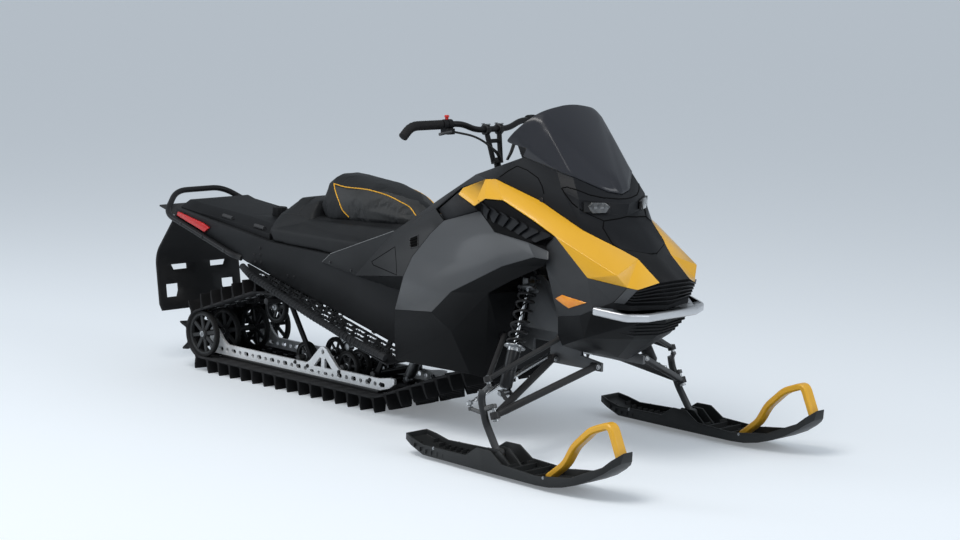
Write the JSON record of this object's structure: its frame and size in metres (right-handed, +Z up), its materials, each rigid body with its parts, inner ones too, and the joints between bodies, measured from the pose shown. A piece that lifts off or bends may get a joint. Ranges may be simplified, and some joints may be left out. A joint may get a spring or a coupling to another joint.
{
  "type": "snowmobile",
  "caption": "Mountain snowmobile: faceted shell over a tunnel with one rubber track, seat and running boards, and two steered skis on double arms.",
  "frame": {"origin": "on the floor at the middle of the bounding box", "axes": "+X forward to the ski tips, +Y to the machine's left, +Z up"},
  "size_m": [2.92, 1.152, 1.205],
  "materials": {
    "black_plastic": "moulded, slightly satin",
    "charcoal_plastic": "moulded, satin",
    "grey_plastic": "satin gloss",
    "yellow_plastic": "gloss",
    "dark_screen": "satin, opaque",
    "tunnel_metal": "satin powder coat",
    "frame_metal": "satin powder coat",
    "seat_vinyl": "grained vinyl",
    "track_rubber": "matt",
    "grip_rubber": "matt",
    "cable_rubber": "matt",
    "rail_aluminium": "brushed",
    "shoe_plastic": "low friction plastic",
    "wheel_plastic": "moulded",
    "axle_steel": "plain",
    "shock_metal": "anodised",
    "spring_steel": "satin black",
    "engine_iron": "plain block",
    "blade_silver": "painted silver",
    "lamp_lens": "clear lens",
    "tail_red": "red lens",
    "amber_lens": "amber lens",
    "stop_red": "red",
    "ski_plastic": "moulded",
    "loop_yellow": "satin",
    "runner_steel": "worn",
    "spindle_metal": "satin black",
    "rod_silver": "satin"
  },
  "bodies": {
    "chassis": {"hood": "black_plastic", "nose_cap": "black_plastic", "grille_shell": "black_plastic", "lower_nose": "charcoal_plastic", "console": "black_plastic", "fairings": "yellow_plastic", "nose_sides": "grey_plastic", "side_panels": "grey_plastic", "lower_pans": "black_plastic", "side_covers": "charcoal_plastic", "windshield": "dark_screen", "tunnel": "tunnel_metal", "seat_base": "charcoal_plastic", "seat_cushion": "seat_vinyl", "cargo_deck": "charcoal_plastic", "cargo_anchor": "black_plastic", "rear_bumper": "tunnel_metal", "snow_flap": "black_plastic", "tail_lamps": "tail_red", "running_boards": "tunnel_metal", "track": "track_rubber", "rails": "rail_aluminium", "slide_shoes": "shoe_plastic", "rear_axle": "wheel_plastic", "idler_wheels": "wheel_plastic", "carrier_wheels": "wheel_plastic", "drive_axle": "axle_steel", "front_swing_arm": "frame_metal", "rear_swing_arm": "frame_metal", "track_shocks": "shock_metal", "front_frame": "frame_metal", "engine_block": "engine_iron", "suspension_arms": "frame_metal", "ski_shocks": "shock_metal", "ski_springs": "spring_steel", "instrument_pod": "black_plastic", "front_bumper": "blade_silver", "headlamps": "lamp_lens", "side_reflectors": "amber_lens", "vent_louvres": "black_plastic"},
    "handlebar": {"handlebar_tube": "frame_metal", "handlebar_riser": "frame_metal", "grips": "grip_rubber", "bar_controls": "black_plastic", "bar_cables": "cable_rubber", "stop_button": "stop_red"},
    "steering_arm": {"steering_arm": "axle_steel"},
    "ski_leg_right": {"spindle_right": "spindle_metal", "ski_right": "ski_plastic", "ski_loop_right": "loop_yellow", "ski_runner_right": "runner_steel"},
    "tie_rod_right": {"tie_rod_right": "rod_silver"},
    "ski_leg_left": {"spindle_left": "spindle_metal", "ski_left": "ski_plastic", "ski_loop_left": "loop_yellow", "ski_runner_left": "runner_steel"},
    "tie_rod_left": {"tie_rod_left": "rod_silver"}
  },
  "joints": [
    {"name": "handlebar_turn", "type": "hinge", "parent": "chassis", "child": "handlebar", "pos_m": [0.362, 0, 0.967], "axis": [-0.225, 0, 0.9744], "range_deg": [-36, 36]},
    {"name": "ski_leg_right_turn", "type": "hinge", "parent": "chassis", "child": "ski_leg_right", "pos_m": [0.854, -0.478, 0.184], "axis": [-0.3609, 0.0642, 0.9304], "range_deg": [-30.6, 30.6]},
    {"name": "ski_leg_left_turn", "type": "hinge", "parent": "chassis", "child": "ski_leg_left", "pos_m": [0.854, 0.478, 0.184], "axis": [-0.3609, -0.0642, 0.9304], "range_deg": [-30.6, 30.6]},
    {"name": "tie_rod_right_turn", "type": "hinge", "parent": "ski_leg_right", "child": "tie_rod_right", "pos_m": [0.752, -0.498, 0.212], "axis": [-0.3609, 0.0642, 0.9304], "range_deg": [-30.6, 30.6]},
    {"name": "tie_rod_left_turn", "type": "hinge", "parent": "ski_leg_left", "child": "tie_rod_left", "pos_m": [0.752, 0.498, 0.212], "axis": [-0.3609, -0.0642, 0.9304], "range_deg": [-30.6, 30.6]},
    {"name": "steering_arm_turn", "type": "hinge", "parent": "chassis", "child": "steering_arm", "pos_m": [0.78577, 0, 0.336], "axis": [-0.3617, 0, 0.9323], "range_deg": [-30.6, 30.6]}
  ],
  "couplings": [
    {"joint": "ski_leg_right_turn", "follows": "handlebar_turn", "ratio": 0.85},
    {"joint": "ski_leg_left_turn", "follows": "handlebar_turn", "ratio": 0.85},
    {"joint": "tie_rod_right_turn", "follows": "handlebar_turn", "ratio": -0.85},
    {"joint": "tie_rod_left_turn", "follows": "handlebar_turn", "ratio": -0.85},
    {"joint": "steering_arm_turn", "follows": "handlebar_turn", "ratio": 0.85}
  ]
}
